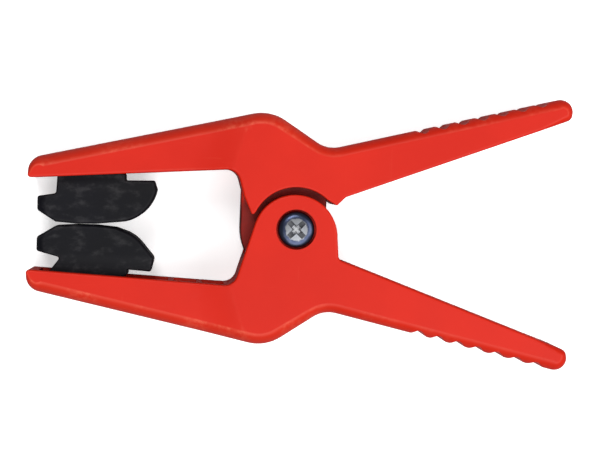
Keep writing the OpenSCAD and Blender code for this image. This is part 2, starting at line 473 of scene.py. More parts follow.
def finish_edges(
    obj: Object,
    width: float,
    angle: float = 38.0,
    rubbed_and_lit: Callable[[np.ndarray], np.ndarray] | None = None,
) -> None:
    """Breaks the sharp edges that the cuts left, shades the faces and records where edges get rubbed and
    painted with a highlight.

    Args:
        obj: The piece.
        width: The width of the broken edge, in millimetres.
        angle: The turn between two faces from which an edge counts as sharp, in degrees.
        rubbed_and_lit: How strongly each point of the side view is rubbed and painted with the edge
            highlight, from 0 to 1. All alike if left out.
    """
    bm = bmesh.new()
    bm.from_mesh(obj.data)
    bmesh.ops.remove_doubles(bm, verts=bm.verts, dist=MERGE * MM)
    bmesh.ops.dissolve_degenerate(bm, dist=SLIVER * MM, edges=bm.edges)
    if width > 0:
        sharp = [e for e in bm.edges if e.is_manifold and e.calc_face_angle(0) > math.radians(angle)]
        sharp = [e for e in sharp if e.calc_length() > SHORT_EDGE * MM]
        bmesh.ops.bevel(bm, geom=sharp, offset=width * MM, offset_type="OFFSET", segments=2,
                        profile=0.6, affect="EDGES", clamp_overlap=True)
    bm.normal_update()
    rub = [0.0] * len(bm.verts)
    bm.verts.ensure_lookup_table()
    for v in bm.verts:
        turns = [e.calc_face_angle_signed(0.0) for e in v.link_edges if e.is_manifold]
        rub[v.index] = max(0.0, max(turns, default=0.0))
    for f in bm.faces:
        f.smooth = True
    bm.to_mesh(obj.data)
    bm.free()
    if rubbed_and_lit is not None:
        spots = np.array([(v.co.x - PIVOT.x, v.co.y - PIVOT.y) for v in obj.data.vertices]) / MM
        rub = list(np.array(rub) * rubbed_and_lit(spots))
    mark = obj.data.attributes.new("rub", "FLOAT", "POINT")
    mark.data.foreach_set("value", np.clip(np.array(rub, np.float32) / FULL_RUB_AND_HIGHLIGHT, 0, 1))
    obj.data.set_sharp_from_angle(angle=math.radians(angle))
    obj.modifiers.new("even shading", "WEIGHTED_NORMAL").keep_sharp = True


def paint(obj: Object, material: Material) -> None:
    """Gives an object one material in place of those that its cutters left."""
    obj.data.materials.clear()
    obj.data.materials.append(material)


# --- shader effects ---


class Tree:
    """A small helper that adds and joins the nodes of one node tree."""

    def __init__(self, tree: NodeTree) -> None:
        """Keeps the tree that nodes are added to."""
        self.tree = tree
        self.column = 0

    def add(self, kind: str, **values: object) -> Node:
        """Adds a node and sets its properties and inputs.

        Args:
            kind: The node's type.
            **values: Properties by name, or inputs by name with underscores for spaces.

        Returns:
            The new node.
        """
        node = self.tree.nodes.new(kind)
        node.location = (self.column * 180, 0)
        self.column += 1
        for name, value in values.items():
            if hasattr(node, name):
                setattr(node, name, value)
            else:
                self.feed(node, name.replace("_", " "), value)
        return node

    def feed(self, node: Node, name: str | int, value: object) -> None:
        """Joins an output to an input, or sets the input's value."""
        socket = node.inputs[name]
        if isinstance(value, NodeSocket):
            self.tree.links.new(value, socket)
        else:
            socket.default_value = value

    def sum(self, operation: str, a: object, b: object = 0.0, clamp: bool = False) -> NodeSocket:
        """One step of arithmetic on two numbers."""
        node = self.add("ShaderNodeMath", operation=operation, use_clamp=clamp)
        self.feed(node, 0, a)
        self.feed(node, 1, b)
        return node.outputs[0]

    def ramp(self, value: object, low: float, high: float) -> NodeSocket:
        """A soft step from 0 to 1 between two values."""
        node = self.add("ShaderNodeMapRange", interpolation_type="SMOOTHSTEP", clamp=True)
        self.feed(node, "Value", value)
        self.feed(node, "From Min", low)
        self.feed(node, "From Max", high)
        return node.outputs["Result"]

    def mix(self, share: object, a: object, b: object) -> NodeSocket:
        """A colour between two colours."""
        node = self.add("ShaderNodeMix", data_type="RGBA")
        self.feed(node, 0, share)
        for index, value in ((6, a), (7, b)):
            self.feed(node, index, value)
        return node.outputs[2]

    def noise(self, spot: NodeSocket, scale: object, detail: float, **more: float) -> NodeSocket:
        """Soft cloudy values about a half, over a place on the object."""
        node = self.add("ShaderNodeTexNoise", Vector=spot, Scale=scale, Detail=detail, **more)
        return node.outputs["Fac"]

    def from_axis(self, spot: NodeSocket) -> NodeSocket:
        """The distance of a place on the object from the hinge axis."""
        parts = self.add("ShaderNodeSeparateXYZ", Vector=spot)
        x = self.sum("SUBTRACT", parts.outputs["X"], PIVOT.x)
        y = self.sum("SUBTRACT", parts.outputs["Y"], PIVOT.y)
        return self.sum("SQRT", self.sum("ADD", self.sum("MULTIPLY", x, x), self.sum("MULTIPLY", y, y)))

    def where(self, stretch: Sequence[float] = (1, 1, 1)) -> NodeSocket:
        """The place on the object, stretched along each axis."""
        place_node = self.add("ShaderNodeTexCoord")
        mapped = self.add("ShaderNodeMapping", Vector=place_node.outputs["Object"], Scale=stretch)
        return mapped.outputs["Vector"]


def group(name: str, inputs: dict[str, float], outputs: Sequence[str]) -> tuple[Tree, Node, Node]:
    """Starts a shader group with named number sockets.

    Args:
        name: The effect's name.
        inputs: Each input's name and usual value.
        outputs: The outputs' names.

    Returns:
        The helper for its tree, its input node and its output node.
    """
    tree = bpy.data.node_groups.new(name, "ShaderNodeTree")
    for label, value in inputs.items():
        socket = tree.interface.new_socket(name=label, in_out="INPUT", socket_type="NodeSocketFloat")
        socket.default_value = value
    for label in outputs:
        tree.interface.new_socket(name=label, in_out="OUTPUT", socket_type="NodeSocketFloat")
    t = Tree(tree)
    return t, t.add("NodeGroupInput"), t.add("NodeGroupOutput")


class Effects:
    """The effects that several finishes share, each built once."""

    def __init__(self) -> None:
        """Builds every shared effect."""
        self.skin = self._skin()
        self.rub = self._rub()
        self.dust = self._dust()
        self.scratches = self._scratches()
        self.grease = self._grease()

    def _skin(self) -> NodeTree:
        """Moulded or plated skin: slow waves, fine grain and a slow change of tone."""
        inputs = {"Wave": 1.0, "Grain": 1.0, "Size": 1.0}
        t, given, out = group("surface skin", inputs, ["Height", "Tone"])
        spot, size = t.where(), given.outputs["Size"]
        wave = t.noise(spot, t.sum("DIVIDE", 160.0, size), 2.0)
        grain = t.noise(spot, t.sum("DIVIDE", 5200.0, size), 3.0, Roughness=0.7)
        slow = t.sum("MULTIPLY", wave, given.outputs["Wave"])
        fast = t.sum("MULTIPLY", grain, given.outputs["Grain"])
        t.feed(out, "Height", t.sum("ADD", slow, t.sum("MULTIPLY", fast, 0.08)))
        t.feed(out, "Tone", t.noise(spot, 45.0, 4.0, Roughness=0.55))
        return t.tree

    def _rub(self) -> NodeTree:
        """A mask along the convex edges, broken up so that it isn't a line: wear where hands and benches
        rub, and on the red plastic a painted highlight along the creases too.
        """
        t, given, out = group("edge rub", {"Amount": 1.0}, ["Mask"])
        edge = t.add("ShaderNodeAttribute", attribute_name="rub")
        spot = t.where()
        fine = t.ramp(t.noise(spot, 900.0, 5.0, Roughness=0.65), 0.38, 0.66)
        wide = t.ramp(t.noise(spot, 110.0, 2.0), 0.42, 0.6)
        share = t.sum("ADD", t.sum("MULTIPLY", fine, wide), 0.4)
        wear_and_highlight = t.sum("MULTIPLY", edge.outputs["Fac"], share)
        t.feed(out, "Mask", t.sum("MULTIPLY", wear_and_highlight, given.outputs["Amount"], True))
        return t.tree

    def _dust(self) -> NodeTree:
        """Dry dust and smears that stay on dull faces."""
        t, given, out = group("handling dust", {"Amount": 1.0, "Size": 1.0}, ["Mask"])
        spot, size = t.where((1.0, 1.7, 1.0)), given.outputs["Size"]
        cloud = t.noise(spot, t.sum("DIVIDE", 240.0, size), 6.0, Roughness=0.62)
        speck = t.add("ShaderNodeTexVoronoi", Vector=spot, Scale=t.sum("DIVIDE", 2600.0, size))
        dots = t.sum("SUBTRACT", 1.0, t.ramp(speck.outputs["Distance"], 0.05, 0.22))
        smear = t.ramp(cloud, 0.48, 0.74)
        specks = t.sum("MULTIPLY", t.sum("MULTIPLY", dots, smear), 0.6)
        both = t.sum("ADD", t.sum("MULTIPLY", smear, 0.7), specks)
        t.feed(out, "Mask", t.sum("MULTIPLY", both, given.outputs["Amount"], True))
        return t.tree

    def _grease(self) -> NodeTree:
        """Painted shade over the faces round the hinge that sit recessed between the other arm's ears:
        dark within a ragged ring about the axis, near the middle of the depth only.
        """
        reach, fade, raggedness = 10.6 * MM, 1.6 * MM, 1.2 * MM
        depth, depth_fade = 5.0 * MM, 0.15 * MM
        # the painted shade's strength where its noise is lowest, as a share of its full strength
        faintest_shade = 0.86
        t, given, out = group("hinge grease", {"Amount": 1.0}, ["Mask"])
        spot = t.add("ShaderNodeTexCoord").outputs["Object"]
        noise = t.noise(spot, 420.0, 4.0, Roughness=0.6)
        ragged = t.sum("MULTIPLY", t.sum("SUBTRACT", noise, 0.5), raggedness)
        away = t.sum("ADD", t.from_axis(spot), ragged)
        near = t.sum("SUBTRACT", 1.0, t.ramp(away, reach, reach + fade))
        level = t.add("ShaderNodeSeparateXYZ", Vector=spot).outputs["Z"]
        off_middle = t.sum("ABSOLUTE", t.sum("SUBTRACT", level, MID * MM))
        between = t.sum("SUBTRACT", 1.0, t.ramp(off_middle, depth, depth + depth_fade))
        patch = t.sum("MULTIPLY", t.ramp(noise, 0.3, 0.7), 1 - faintest_shade)
        shade_mask = t.sum("MULTIPLY", t.sum("MULTIPLY", near, between), t.sum("ADD", patch, faintest_shade))
        t.feed(out, "Mask", t.sum("MULTIPLY", shade_mask, given.outputs["Amount"], True))
        return t.tree

    def _scratches(self) -> NodeTree:
        """Fine scratches that run mostly along the clamp, with a few across."""
        t, given, out = group("fine scratches", {"Amount": 1.0}, ["Mask", "Height"])
        lines = []
        for stretch, turn in (((60, 1500, 900), 0.35), ((1300, 90, 900), -0.5), ((90, 1900, 900), -0.9)):
            mapped = t.add("ShaderNodeMapping", Vector=t.where(), Rotation=(0, 0, turn), Scale=stretch)
            noise = t.noise(mapped.outputs["Vector"], 1.0, 1.0, Distortion=0.6)
            lines.append(t.ramp(noise, 0.72, 0.9))
        joined = t.sum("ADD", t.sum("ADD", lines[0], lines[1]), lines[2], True)
        mask = t.sum("MULTIPLY", joined, given.outputs["Amount"], True)
        t.feed(out, "Mask", mask)
        t.feed(out, "Height", t.sum("MULTIPLY", mask, -1.0))
        return t.tree


# --- finishes ---

Colour = tuple[float, float, float, float]


def _paint(r: float, g: float, b: float) -> Colour:
    """An opaque colour."""
    return (r, g, b, 1.0)


DUST_COLOUR = _paint(0.16, 0.155, 0.16)
# The colour of the painted shade on the recessed faces round the hinge.
PAINTED_SHADE_COLOUR = _paint(0.035, 0.002, 0.0015)
TONE_ROUGH, WEAR_ROUGH, DUST_ROUGH = 0.12, 0.18, 0.3  # what each adds to the roughness
MARK_SHARE = 0.5  # how strongly scratches show, beside rubbed edges
BUMP_DEPTH = 0.2 * MM


@dataclass(frozen=True)
class Finish:
    """A surface that builds its own material from the shared effects."""

    name: str
    colour: Colour
    deep: Colour
    wear_and_highlight: Colour
    roughness: float
    metal: float = 0.0
    level: float = 0.5
    wave: float = 0.5
    grain: float = 0.5
    size: float = 1.0
    rub: float = 0.5
    dust: float = 0.0
    scratches: float = 0.3
    # how strongly the painted shade round the hinge is laid on
    grease: float = 0.0
    bump: float = 0.1

    def material(self, effects: Effects) -> Material:
        """Builds the material.

        Args:
            effects: The shared shader groups.

        Returns:
            The finished material.
        """
        made = bpy.data.materials.new(self.name)
        made.use_nodes = True
        made.node_tree.nodes.clear()
        t = Tree(made.node_tree)

        def effect(tree: NodeTree, **amounts: float) -> Node:
            """One of the shared effects, at this finish's own strength."""
            return t.add("ShaderNodeGroup", node_tree=tree, **amounts)

        skin = effect(effects.skin, Wave=self.wave, Grain=self.grain, Size=self.size)
        rub = effect(effects.rub, Amount=self.rub).outputs["Mask"]
        dust = effect(effects.dust, Amount=self.dust, Size=self.size).outputs["Mask"]
        marks = effect(effects.scratches, Amount=self.scratches)
        shade_mask = effect(effects.grease, Amount=self.grease).outputs["Mask"]
        colour = t.mix(t.ramp(skin.outputs["Tone"], 0.3, 0.7), self.deep, self.colour)
        # Rubbed edges and scratches take the pale edge colour; along the creases of the red plastic that
        # colour is a painted highlight as well as wear.
        wear_and_highlight_mask = t.sum("MAXIMUM", rub, t.sum("MULTIPLY", marks.outputs["Mask"], MARK_SHARE), True)
        colour = t.mix(wear_and_highlight_mask, self.accent(t, colour), self.wear_and_highlight)
        # Dust, then the painted shade round the hinge, over the colour.
        colour = t.mix(shade_mask, t.mix(dust, colour, DUST_COLOUR), PAINTED_SHADE_COLOUR)
        uneven = t.sum("MULTIPLY", t.sum("SUBTRACT", skin.outputs["Tone"], 0.5), TONE_ROUGH)
        rough = t.sum("ADD", self.roughness, uneven)
        rough = t.sum("ADD", rough, t.sum("MULTIPLY", wear_and_highlight_mask, WEAR_ROUGH))
        rough = t.sum("ADD", rough, t.sum("MULTIPLY", dust, DUST_ROUGH), True)
        cuts = t.sum("MULTIPLY", marks.outputs["Height"], MARK_SHARE)
        height = t.sum("ADD", skin.outputs["Height"], cuts)
        bump = t.add("ShaderNodeBump", Strength=self.bump, Distance=BUMP_DEPTH, Height=height)
        shader = t.add("ShaderNodeBsdfPrincipled", Normal=bump.outputs["Normal"], Metallic=self.metal)
        t.feed(shader, "Base Color", colour)
        t.feed(shader, "Roughness", rough)
        t.feed(shader, "Specular IOR Level", self.level)
        t.add("ShaderNodeOutputMaterial", Surface=shader.outputs["BSDF"])
        return made

    def accent(self, t: Tree, colour: NodeSocket) -> NodeSocket:
        """A finish's own change of colour; none for a plain finish."""
        return colour


@dataclass(frozen=True)
class BrightCentreFinish(Finish):
    """Dark plating with a ragged disc of brighter steel round the axis."""

    bright: Colour = _paint(0.29, 0.3, 0.32)
    bright_r: float = 2.1
    ragged: float = 0.6

    def accent(self, t: Tree, colour: NodeSocket) -> NodeSocket:
        """Mixes in the bright steel near the axis."""
        spot = t.add("ShaderNodeTexCoord").outputs["Object"]
        ragged = t.sum("SUBTRACT", t.noise(spot, 1500.0, 3.0), 0.5)
        ragged = t.sum("MULTIPLY", ragged, self.ragged * MM)
        away = t.sum("ADD", t.from_axis(spot), ragged)
        far = t.ramp(away, (self.bright_r - 0.2) * MM, (self.bright_r + 0.15) * MM)
        return t.mix(t.sum("SUBTRACT", 1.0, far), colour, self.bright)


# The red plastic carries the painted shade round the hinge.
RED_PLASTIC = Finish(
    name="red moulded plastic",
    colour=_paint(0.525, 0.011, 0.0015),
    deep=_paint(0.48, 0.009, 0.001),
    # pale edge colour: partly wear, partly a painted highlight along the creases
    wear_and_highlight=_paint(0.62, 0.085, 0.045),
    roughness=0.42, level=0.17, wave=0.6, grain=0.35, rub=0.9, scratches=0.25, grease=1.0,
    bump=0.12,
)
BLACK_RUBBER = Finish(
    name="black pad rubber",
    colour=_paint(0.003, 0.003, 0.0055),
    deep=_paint(0.002, 0.002, 0.003),
    wear_and_highlight=_paint(0.022, 0.021, 0.024),
    roughness=0.5, level=0.11, wave=1.0, grain=0.9, size=0.8, rub=0.4, dust=0.16, scratches=0.5,
    bump=0.3,
)
BLUED_PLATING = BrightCentreFinish(
    name="blue zinc plating",
    colour=_paint(0.05, 0.062, 0.115),
    deep=_paint(0.022, 0.03, 0.06),
    wear_and_highlight=_paint(0.3, 0.33, 0.4),
    roughness=0.3, metal=1.0, wave=0.5, grain=0.5, size=0.4, rub=0.3, scratches=0.4, bump=0.1,
)
RECESS_STEEL = Finish(
    name="grey pressed recess",
    colour=_paint(0.36, 0.36, 0.38),
    deep=_paint(0.26, 0.27, 0.29),
    wear_and_highlight=_paint(0.5, 0.5, 0.5),
    roughness=0.42, metal=1.0, size=0.3, rub=0.6, scratches=0.4, bump=0.15,
)
BRIGHT_STEEL = Finish(
    name="bright zinc plating",
    colour=_paint(0.62, 0.64, 0.68),
    deep=_paint(0.5, 0.52, 0.57),
    wear_and_highlight=_paint(0.8, 0.8, 0.8),
    roughness=0.3, metal=1.0, size=0.4, rub=0.3, scratches=0.4, bump=0.12,
)
SPRING_WIRE = Finish(
    name="drawn spring wire",
    colour=_paint(0.3, 0.3, 0.32),
    deep=_paint(0.2, 0.2, 0.22),
    wear_and_highlight=_paint(0.5, 0.5, 0.5),
    roughness=0.34, metal=1.0, size=0.4, rub=0.0, scratches=0.5, bump=0.15,
)


def dress(obj: Object, body: str, slot: str, *nodes: str) -> None:
    """Ties a finished piece to its body and hides the frame nodes that it stands for."""
    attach(obj, body)
    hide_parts(*nodes)
    LOG.info("%s: %d faces on %s", obj.name, len(obj.data.polygons), body)


# --- sub-assemblies ---


class Side(Enum):
    """Which of the two arms, by the side of the clamp that it is on."""

    UPPER = 1
    LOWER = -1

    @property
    def word(self) -> str:
        """The side as it stands in the names of pieces, bodies and nodes."""
        return self.name.lower()


@dataclass
class Arm:
    """One moulded arm: jaw channel, hump, hinge part and scalloped handle. Sizes in millimetres."""

    side: Side
    material: Material
    tip: float = -50.7
    hump: Spot = (-5.2, 22.48)
    valley: Spot = (5.65, 15.24)
    end: Spot = (53.0, 26.6)
    end_low: Spot = (51.9, 21.92)
    tip_high: float = 12.39
    root: float = 9.2
    wall: float = 2.06
    jaw_inset: float = 1.2
    ridge: tuple[Spot, Spot] = ((-8.6, 22.4), (-12.6, 10.0))
    ridge_run: float = 8.0
    ear: float = 3.6
    side_gap: float = 0.15
    knuckle: float = 2.6
    knuckle_r: float = 10.5
    bore_r: float = 2.55
    scallops: int = 7
    scallop_start: float = 23.8
    scallop_pitch: float = 3.75
    scallop_depth: Spot = (0.95, 0.75)
    crest: float = 0.06
    wave_steps: int = 14
    head_sink: Spot = (3.8, 1.6)
    nut_pocket: Spot = (3.12, 2.0)
    turning_gap: float = 0.4
    jaw_shell: float = 2.4
    grip_shell: float = 2.6
    half_rib: float = 0.5
    thick_roof: float = 0.6
    bar: Spot = (-40.3, 10.9)
    bar_r: float = 0.95
    bar_end: float = 2.0
    crease: Spot = (1.95, 2.9)
    lip: Spot = (0.35, 0.35)
    edge: float = 0.12
    rubbed_and_lit_depth: float = 3.4

    def edge_y(self, x: float | np.ndarray) -> float | np.ndarray:
        """The outer edge above the middle: from the tip over the hump and the valley to the end."""
        xs, ys = zip((self.tip, self.tip_high), self.hump, self.valley, self.end)
        return np.interp(x, xs, ys)

    def half_depth(self, points: np.ndarray) -> np.ndarray:
        """Half the arm's depth, which falls away in front of the ridge from the hump to the throat."""
        start, _, ahead = self._ridge_frame()
        rel = np.column_stack([points[:, 0], np.abs(points[:, 1])]) - start
        share = np.clip(rel @ ahead / self.ridge_run, 0, 1)
        crisp, soft = 1 - (1 - share) ** 2, share**2 * (3 - 2 * share)
        return MID - self.jaw_inset * (crisp + soft) / 2

    def _ridge_frame(self) -> tuple[np.ndarray, np.ndarray, np.ndarray]:
        """The ridge's start, the way along it and the way ahead of it, towards the tip."""
        a, b = np.array(self.ridge[0]), np.array(self.ridge[1])
        along = (b - a) / np.linalg.norm(b - a)
        return a, along, np.array([along[1], -along[0]])

    def ridge_rows(self) -> np.ndarray:
        """Rows of points along the ridge and down its slope, so that it comes out crisp."""
        start, along, ahead = self._ridge_frame()
        steps = np.array([-0.05, 0.0, 0.07, 0.16, 0.27, 0.4, 0.56, 0.76, 1.0]) * self.ridge_run
        runs = np.arange(-3.0, 17.0, 0.7)
        points = np.array([start + along * t + ahead * s for s in steps for t in runs])
        return points * np.array([1, self.side.value])

    def rubbed_and_lit(self, points: np.ndarray) -> np.ndarray:
        """How strongly the edges at each point are rubbed and painted with a highlight: fully along the
        outer edges, little elsewhere.
        """
        x, y = points[:, 0], np.abs(points[:, 1])
        outer = y > self.edge_y(x) - self.rubbed_and_lit_depth
        return np.where(outer, np.interp(x, [0.0, 10.0], [1.0, 0.4]), 0.16)

    def outline(self) -> Outline:
        """The arm's side view, first as it is above the middle."""
        c, d = self.crease
        i, k = self.lip
        shared: list[Stretch] = [
            Corner(self.tip, 8.65, 0.6, 0.28, 0.3),
            Corner(self.tip, self.tip_high, 3.0, c, d, start=0.3),
            Corner(*self.hump, 8.0, c, d),
            Corner(*self.valley, 5.5, c * 0.85, d * 0.85),
            Corner(*self.end, 2.3, c * 0.55, d * 0.5, start=1.6),
            Corner(*self.end_low, 1.4, 1.0, 1.3),
            Corner(46.5, 19.945, 0.0, i, k),
        ]
        if self.side is Side.UPPER:
            relief = Bend(0.0, -0.6, 8.6, 47.0, 154.0, 0.2, 0.2)
            inner: list[Stretch] = [
                Corner(self.root, 6.3, 0.6, 0.25, 0.25),
                Corner(7.6, 4.7, 0.22, 0.12, 0.12),
                relief,
                Corner(-8.35, 2.45, 0.35, 0.2, 0.2),
                Corner(-9.98, 6.04, 3.0, i, k),
                Corner(-11.4, 11.15, 2.5, i, k),
            ]
            return Outline.through(shared + inner, gap=0.65)
        ear = Bend(-0.15, 1.45, 8.0, 0.0, -161.6, 0.28, 0.28)
        inner = [
            Corner(8.15, 5.52, 1.1, i, k),
            ear,
            Corner(-11.6, 10.9, 2.5, i, k),
        ]
        return Outline.through(shared + inner, gap=0.65).mirrored()

    def jaw_cells(self) -> list[Object]:
        """The hollows of the jaw, between its cross ribs."""
        low = self.jaw_inset + self.jaw_shell
        cells = []
        for x0, x1 in ((self.tip + 2.2, -24.0), (-23.0, -18.6), (-17.6, -13.4)):
            roof = [(x, self.edge_y(x) - self.wall) for x in (x0, x1)]
            cells.append(self._cell([(x0, 4), *roof, (x1, 4)], low, DEPTH - low))
        return cells

    def handle_cells(self) -> list[Object]:
        """The hollows of the handle, either side of its middle rib and between its cross ribs."""
        cells = []
        thick = self.wall + self.thick_roof
        gap = self.grip_shell
        for low, high in ((gap, MID - self.half_rib), (MID + self.half_rib, DEPTH - gap)):
            for x0, x1, floor in ((10.6, 20.5, 0.0), (21.5, 34.0, 0.0), (35.0, 49.5, 15.0)):
                roof = [(x, self.edge_y(x) - thick) for x in (x0, x1)]
                cells.append(self._cell([(x0, 0), *roof, (x1, floor)], low, high))
            cells.append(self._cell([(20.3, 0), (20.3, 13.02), (21.7, 13.55), (21.7, 0)], low, high))
        return cells

    def core(self) -> Object:
        """The slot between the knuckles, out to the hump and the handle."""
        low = self.ear + self.side_gap + self.knuckle
        floor, front, back = -11.5, -8.4, 10.8
        thick = self.wall + self.thick_roof
        side = [
            (front, floor),
            (front, self.edge_y(front) - thick),
            (self.hump[0] - 0.6, self.hump[1] - self.wall - 1.6),
            (self.valley[0], self.valley[1] - thick),
            (back, self.edge_y(back) - thick),
            (back, floor),
        ]
        return self._cell(side, low, DEPTH - low)

    def grip(self) -> Object:
        """A wavy block that cuts the grip's scallops, leaving the crests between them rounded."""
        run = np.array(self.end) - np.array(self.valley)
        out = np.array([-run[1], run[0]]) / np.linalg.norm(run)
        side = []
        for k in range(self.scallops * self.wave_steps + 1):
            t = k / self.wave_steps
            x = self.scallop_start + (t - 0.5) * self.scallop_pitch
            deep = np.interp(t, [0, self.scallops], self.scallop_depth)
            sunk = (deep + self.crest) * (0.5 - 0.5 * math.cos(2 * math.pi * t)) - self.crest
            side.append(tuple(np.array([x, self.edge_y(x)]) - out * sunk))
        side += [tuple(np.array(side[k]) + out * 3) for k in (-1, 0)]
        return self._cell(side, -1, DEPTH + 1)

    def _cell(self, side: Sequence[Spot], low: float, high: float) -> Object:
        """A hollow given above the middle, put on this arm's own side."""
        return prism([(x, y * self.side.value) for x, y in side], low, high)

    def build(self) -> Object:
        """Builds and dresses the arm.

        Returns:
            The arm's mesh object.
        """
        name = f"{self.side.word}_arm"
        arm = crowned_block(f"{name}_moulding", self.outline(), self.half_depth, rows=self.ridge_rows())
        cuts = self.jaw_cells() + self.handle_cells() + [self.grip()]
        if self.side is Side.UPPER:
            combine(arm, [self._knuckles()], Cut.JOIN)
        else:
            (sink_r, sink), (flat, pocket) = self.head_sink, self.nut_pocket
            cuts.append(disc(0, 0, self.knuckle_r + self.turning_gap, self.ear, DEPTH - self.ear))
            cuts.append(disc(0, 0, sink_r, DEPTH - sink, DEPTH + 3))
            cuts.append(prism(_polygon(flat / math.cos(math.radians(30)), 6), -2, pocket))
        cuts += [self.core(), disc(0, 0, self.bore_r, -1, DEPTH + 1)]
        combine(arm, cuts, Cut.AWAY)
        low = self.jaw_inset + self.bar_end
        bar = disc(self.bar[0], self.bar[1] * self.side.value, self.bar_r, low, DEPTH - low, 32)
        combine(arm, [bar], Cut.JOIN)
        finish_edges(arm, self.edge, rubbed_and_lit=self.rubbed_and_lit)
        paint(arm, self.material)
        dress(arm, self.side.word, "arm_plastic", name)
        return arm

    def _knuckles(self) -> Object:
        """The inner part that turns between the other arm's ears."""
        right, top, crown = 5.8, 12.0, 0.2
        edge = math.degrees(math.acos(right / self.knuckle_r))
        corners = [(right, top), (-9.2, top), (-10.35, 8.0)]
        shape: list[Stretch] = [Corner(x, y, 0.0, crown, crown) for x, y in corners]
        shape.append(Bend(0, 0, self.knuckle_r, 180.0, 360 - edge, crown, crown))
        thick = MID - self.ear - self.side_gap
        outline = Outline.through(shape)
        return crowned_block("knuckles", outline, lambda p: np.full(len(p), thick), grid=2.5, turns=2)


@dataclass
class Pad:
    """One swivelling rubber pad. Sizes in millimetres."""

    side: Side
    material: Material
    width: float = 9.8
    face_r: float = 45.0
    gap: float = 0.175
    facet: float = -47.5
    bar: Spot = (-40.3, 10.9)
    socket_r: float = 1.01
    mouth: float = 0.76

    def outline(self) -> Outline:
        """The pad's side view: a rounded gripping face, a thick heel, and a neck with its clip."""
        centre = self.gap / 2 + self.face_r
        lead, tail = (math.degrees(math.asin(reach / self.face_r)) for reach in (5.2, 6.2))
        face = Bend(self.bar[0], centre, self.face_r, 270 - lead, 270 + tail, 0.4, 0.5)
        shoulder, (x, y) = 9.9, self.bar
        clip = [(x + 2.0, shoulder), (x + 1.95, y + 0.5), (x - 1.95, y + 0.5), (x - 2.0, shoulder)]
        if self.side is Side.UPPER:
            front = [(-45.3, shoulder, 0.5), (-45.5, 5.8, 0.5)]
        else:
            front = [(-46.6, shoulder, 0.3), (-46.3, 8.7, 0.5), (-44.5, 6.35, 0.4)]
        nose = [(-49.05, 5.2, 0.5), (-49.05, 2.55, 0.7)]
        shape: list[Stretch] = [Corner(*corner, 0.35, 0.4) for corner in nose]
        shape += [face, *self._heel(), Corner(-32.5, shoulder, 0.5)]
        shape += [Corner(*spot, 0.0, 0.2, 0.2) for spot in clip]
        shape += [Corner(*corner) for corner in front]
        outline = Outline.through(shape, gap=0.5)
        return outline if self.side is Side.UPPER else outline.mirrored()

    def _heel(self) -> list[Stretch]:
        """The thick end of the pad; the lower one has settled a little further back."""
        if self.side is Side.UPPER:
            return [
                Bend(-34.0, 8.2, 7.7, 284.0, 350.0, 0.5, 0.6),
                Corner(-27.0, 8.6, 0.5, 0.35, 0.45),
                Corner(-32.5, 8.5, 0.25),
            ]
        return [
            Corner(-30.4, 1.8, 7.0, 0.5, 0.6),
            Corner(-26.7, 6.2, 1.0, 0.5, 0.6),
            Corner(-27.3, 8.75, 0.4, 0.35, 0.45),
            Corner(-31.9, 8.4, 0.25),
            Corner(-31.6, 9.2, 0.2),
        ]

    def half_width(self, points: np.ndarray) -> np.ndarray:
        """Half the pad's width: thinner at the neck, and cut back to a facet at its leading end."""
        y = np.abs(points[:, 1])
        neck = 0.25 * np.clip((y - 6.2) / 1.6, 0, 1)
        return self.width / 2 - neck - 0.55 * np.clip(self.facet - points[:, 0], 0, 2)

    def facet_rows(self) -> np.ndarray:
        """Rows of points along the start of the leading facet, so that it comes out crisp."""
        rows = [self.facet + 0.25, self.facet]
        return np.array([(x, y * self.side.value) for x in rows for y in np.arange(1, 7, 0.4)])

    def build(self) -> Object:
        """Builds and dresses the pad.

        Returns:
            The pad's mesh object.
        """
        name = f"{self.side.word}_pad"
        rows = self.facet_rows()
        pad = crowned_block(f"{name}_rubber", self.outline(), self.half_width, grid=0.8, rows=rows)
        x, y = self.bar[0], self.bar[1] * self.side.value
        far = y + 4 * self.side.value
        left, right = x - self.mouth, x + self.mouth
        mouth = prism([(left, y), (right, y), (right, far), (left, far)], 0, DEPTH)
        combine(pad, [disc(x, y, self.socket_r, 0, DEPTH, 40), mouth], Cut.AWAY)
        finish_edges(pad, 0.0, 45.0)
        paint(pad, self.material)
        dress(pad, f"{self.side.word}_jaw_pad", "pad_rubber", name)
        return pad


